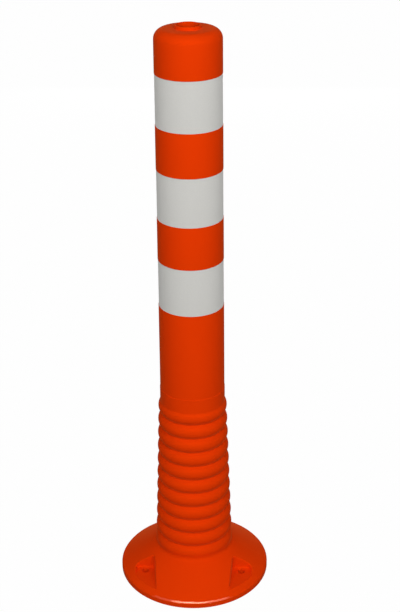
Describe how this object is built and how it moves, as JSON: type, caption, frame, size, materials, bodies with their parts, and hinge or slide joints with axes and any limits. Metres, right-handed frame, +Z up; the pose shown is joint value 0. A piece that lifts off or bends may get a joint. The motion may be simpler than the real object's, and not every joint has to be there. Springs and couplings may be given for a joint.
{
  "type": "flexible delineator post",
  "caption": "Orange flexible road delineator post: round bolt-down base, ribbed flex zone that bends in any direction and springs back, plain tube with white reflective bands and a holed head.",
  "frame": {"origin": "middle of the base underside, on the road surface", "axes": "+Z up the post, -Y the front with two of the anchor pockets, +X to the right seen from the front"},
  "size_m": [0.2, 0.2, 0.749],
  "materials": {
    "post_moulding": "satin",
    "reflective_film": "satin"
  },
  "bodies": {
    "base": {"base_flange": "post_moulding"},
    "web_01": {"flex_web_01": "post_moulding"},
    "rib_01": {"flex_rib_01": "post_moulding"},
    "web_02": {"flex_web_02": "post_moulding"},
    "rib_02": {"flex_rib_02": "post_moulding"},
    "web_03": {"flex_web_03": "post_moulding"},
    "rib_03": {"flex_rib_03": "post_moulding"},
    "web_04": {"flex_web_04": "post_moulding"},
    "rib_04": {"flex_rib_04": "post_moulding"},
    "web_05": {"flex_web_05": "post_moulding"},
    "rib_05": {"flex_rib_05": "post_moulding"},
    "web_06": {"flex_web_06": "post_moulding"},
    "rib_06": {"flex_rib_06": "post_moulding"},
    "web_07": {"flex_web_07": "post_moulding"},
    "rib_07": {"flex_rib_07": "post_moulding"},
    "web_08": {"flex_web_08": "post_moulding"},
    "rib_08": {"flex_rib_08": "post_moulding"},
    "web_09": {"flex_web_09": "post_moulding"},
    "rib_09": {"flex_rib_09": "post_moulding"},
    "web_10": {"flex_web_10": "post_moulding"},
    "rib_10": {"flex_rib_10": "post_moulding"},
    "web_11": {"flex_web_11": "post_moulding"},
    "rib_11": {"flex_rib_11": "post_moulding"},
    "web_12": {"flex_web_12": "post_moulding"},
    "post": {"post_tube": "post_moulding", "reflective_band_upper": "reflective_film", "reflective_band_middle": "reflective_film", "reflective_band_lower": "reflective_film"}
  },
  "joints": [
    {"name": "fore_aft_bend_01", "type": "hinge", "parent": "base", "child": "web_01", "pos_m": [0, 0, 0.04041], "axis": [1, 0, 0], "range_deg": [-7.5, 7.5], "stiffness_Nm_per_rad": 360, "deforming": ["flex_web_01"]},
    {"name": "sideways_bend_01", "type": "hinge", "parent": "web_01", "child": "rib_01", "pos_m": [0, 0, 0.04041], "axis": [0, 1, 0], "range_deg": [-3.75, 3.75], "stiffness_Nm_per_rad": 360},
    {"name": "fore_aft_bend_02", "type": "hinge", "parent": "rib_01", "child": "web_02", "pos_m": [0, 0, 0.06071], "axis": [1, 0, 0], "range_deg": [-7.5, 7.5], "stiffness_Nm_per_rad": 360, "deforming": ["flex_web_02"]},
    {"name": "sideways_bend_02", "type": "hinge", "parent": "web_02", "child": "rib_02", "pos_m": [0, 0, 0.06071], "axis": [0, 1, 0], "range_deg": [-3.75, 3.75], "stiffness_Nm_per_rad": 360},
    {"name": "fore_aft_bend_03", "type": "hinge", "parent": "rib_02", "child": "web_03", "pos_m": [0, 0, 0.08101], "axis": [1, 0, 0], "range_deg": [-7.5, 7.5], "stiffness_Nm_per_rad": 360, "deforming": ["flex_web_03"]},
    {"name": "sideways_bend_03", "type": "hinge", "parent": "web_03", "child": "rib_03", "pos_m": [0, 0, 0.08101], "axis": [0, 1, 0], "range_deg": [-3.75, 3.75], "stiffness_Nm_per_rad": 360},
    {"name": "fore_aft_bend_04", "type": "hinge", "parent": "rib_03", "child": "web_04", "pos_m": [0, 0, 0.10131], "axis": [1, 0, 0], "range_deg": [-7.5, 7.5], "stiffness_Nm_per_rad": 360, "deforming": ["flex_web_04"]},
    {"name": "sideways_bend_04", "type": "hinge", "parent": "web_04", "child": "rib_04", "pos_m": [0, 0, 0.10131], "axis": [0, 1, 0], "range_deg": [-3.75, 3.75], "stiffness_Nm_per_rad": 360},
    {"name": "fore_aft_bend_05", "type": "hinge", "parent": "rib_04", "child": "web_05", "pos_m": [0, 0, 0.12161], "axis": [1, 0, 0], "range_deg": [-7.5, 7.5], "stiffness_Nm_per_rad": 360, "deforming": ["flex_web_05"]},
    {"name": "sideways_bend_05", "type": "hinge", "parent": "web_05", "child": "rib_05", "pos_m": [0, 0, 0.12161], "axis": [0, 1, 0], "range_deg": [-3.75, 3.75], "stiffness_Nm_per_rad": 360},
    {"name": "fore_aft_bend_06", "type": "hinge", "parent": "rib_05", "child": "web_06", "pos_m": [0, 0, 0.14191], "axis": [1, 0, 0], "range_deg": [-7.5, 7.5], "stiffness_Nm_per_rad": 360, "deforming": ["flex_web_06"]},
    {"name": "sideways_bend_06", "type": "hinge", "parent": "web_06", "child": "rib_06", "pos_m": [0, 0, 0.14191], "axis": [0, 1, 0], "range_deg": [-3.75, 3.75], "stiffness_Nm_per_rad": 360},
    {"name": "fore_aft_bend_07", "type": "hinge", "parent": "rib_06", "child": "web_07", "pos_m": [0, 0, 0.16221], "axis": [1, 0, 0], "range_deg": [-7.5, 7.5], "stiffness_Nm_per_rad": 360, "deforming": ["flex_web_07"]},
    {"name": "sideways_bend_07", "type": "hinge", "parent": "web_07", "child": "rib_07", "pos_m": [0, 0, 0.16221], "axis": [0, 1, 0], "range_deg": [-3.75, 3.75], "stiffness_Nm_per_rad": 360},
    {"name": "fore_aft_bend_08", "type": "hinge", "parent": "rib_07", "child": "web_08", "pos_m": [0, 0, 0.18251], "axis": [1, 0, 0], "range_deg": [-7.5, 7.5], "stiffness_Nm_per_rad": 360, "deforming": ["flex_web_08"]},
    {"name": "sideways_bend_08", "type": "hinge", "parent": "web_08", "child": "rib_08", "pos_m": [0, 0, 0.18251], "axis": [0, 1, 0], "range_deg": [-3.75, 3.75], "stiffness_Nm_per_rad": 360},
    {"name": "fore_aft_bend_09", "type": "hinge", "parent": "rib_08", "child": "web_09", "pos_m": [0, 0, 0.20281], "axis": [1, 0, 0], "range_deg": [-7.5, 7.5], "stiffness_Nm_per_rad": 360, "deforming": ["flex_web_09"]},
    {"name": "sideways_bend_09", "type": "hinge", "parent": "web_09", "child": "rib_09", "pos_m": [0, 0, 0.20281], "axis": [0, 1, 0], "range_deg": [-3.75, 3.75], "stiffness_Nm_per_rad": 360},
    {"name": "fore_aft_bend_10", "type": "hinge", "parent": "rib_09", "child": "web_10", "pos_m": [0, 0, 0.22311], "axis": [1, 0, 0], "range_deg": [-7.5, 7.5], "stiffness_Nm_per_rad": 360, "deforming": ["flex_web_10"]},
    {"name": "sideways_bend_10", "type": "hinge", "parent": "web_10", "child": "rib_10", "pos_m": [0, 0, 0.22311], "axis": [0, 1, 0], "range_deg": [-3.75, 3.75], "stiffness_Nm_per_rad": 360},
    {"name": "fore_aft_bend_11", "type": "hinge", "parent": "rib_10", "child": "web_11", "pos_m": [0, 0, 0.24341], "axis": [1, 0, 0], "range_deg": [-7.5, 7.5], "stiffness_Nm_per_rad": 360, "deforming": ["flex_web_11"]},
    {"name": "sideways_bend_11", "type": "hinge", "parent": "web_11", "child": "rib_11", "pos_m": [0, 0, 0.24341], "axis": [0, 1, 0], "range_deg": [-3.75, 3.75], "stiffness_Nm_per_rad": 360},
    {"name": "fore_aft_bend_12", "type": "hinge", "parent": "rib_11", "child": "web_12", "pos_m": [0, 0, 0.26371], "axis": [1, 0, 0], "range_deg": [-7.5, 7.5], "stiffness_Nm_per_rad": 360, "deforming": ["flex_web_12"]},
    {"name": "sideways_bend_12", "type": "hinge", "parent": "web_12", "child": "post", "pos_m": [0, 0, 0.26371], "axis": [0, 1, 0], "range_deg": [-3.75, 3.75], "stiffness_Nm_per_rad": 360}
  ],
  "couplings": [
    {"joint": "fore_aft_bend_02", "follows": "fore_aft_bend_01", "ratio": 1},
    {"joint": "sideways_bend_02", "follows": "sideways_bend_01", "ratio": 1},
    {"joint": "fore_aft_bend_03", "follows": "fore_aft_bend_01", "ratio": 1},
    {"joint": "sideways_bend_03", "follows": "sideways_bend_01", "ratio": 1},
    {"joint": "fore_aft_bend_04", "follows": "fore_aft_bend_01", "ratio": 1},
    {"joint": "sideways_bend_04", "follows": "sideways_bend_01", "ratio": 1},
    {"joint": "fore_aft_bend_05", "follows": "fore_aft_bend_01", "ratio": 1},
    {"joint": "sideways_bend_05", "follows": "sideways_bend_01", "ratio": 1},
    {"joint": "fore_aft_bend_06", "follows": "fore_aft_bend_01", "ratio": 1},
    {"joint": "sideways_bend_06", "follows": "sideways_bend_01", "ratio": 1},
    {"joint": "fore_aft_bend_07", "follows": "fore_aft_bend_01", "ratio": 1},
    {"joint": "sideways_bend_07", "follows": "sideways_bend_01", "ratio": 1},
    {"joint": "fore_aft_bend_08", "follows": "fore_aft_bend_01", "ratio": 1},
    {"joint": "sideways_bend_08", "follows": "sideways_bend_01", "ratio": 1},
    {"joint": "fore_aft_bend_09", "follows": "fore_aft_bend_01", "ratio": 1},
    {"joint": "sideways_bend_09", "follows": "sideways_bend_01", "ratio": 1},
    {"joint": "fore_aft_bend_10", "follows": "fore_aft_bend_01", "ratio": 1},
    {"joint": "sideways_bend_10", "follows": "sideways_bend_01", "ratio": 1},
    {"joint": "fore_aft_bend_11", "follows": "fore_aft_bend_01", "ratio": 1},
    {"joint": "sideways_bend_11", "follows": "sideways_bend_01", "ratio": 1},
    {"joint": "fore_aft_bend_12", "follows": "fore_aft_bend_01", "ratio": 1},
    {"joint": "sideways_bend_12", "follows": "sideways_bend_01", "ratio": 1}
  ]
}
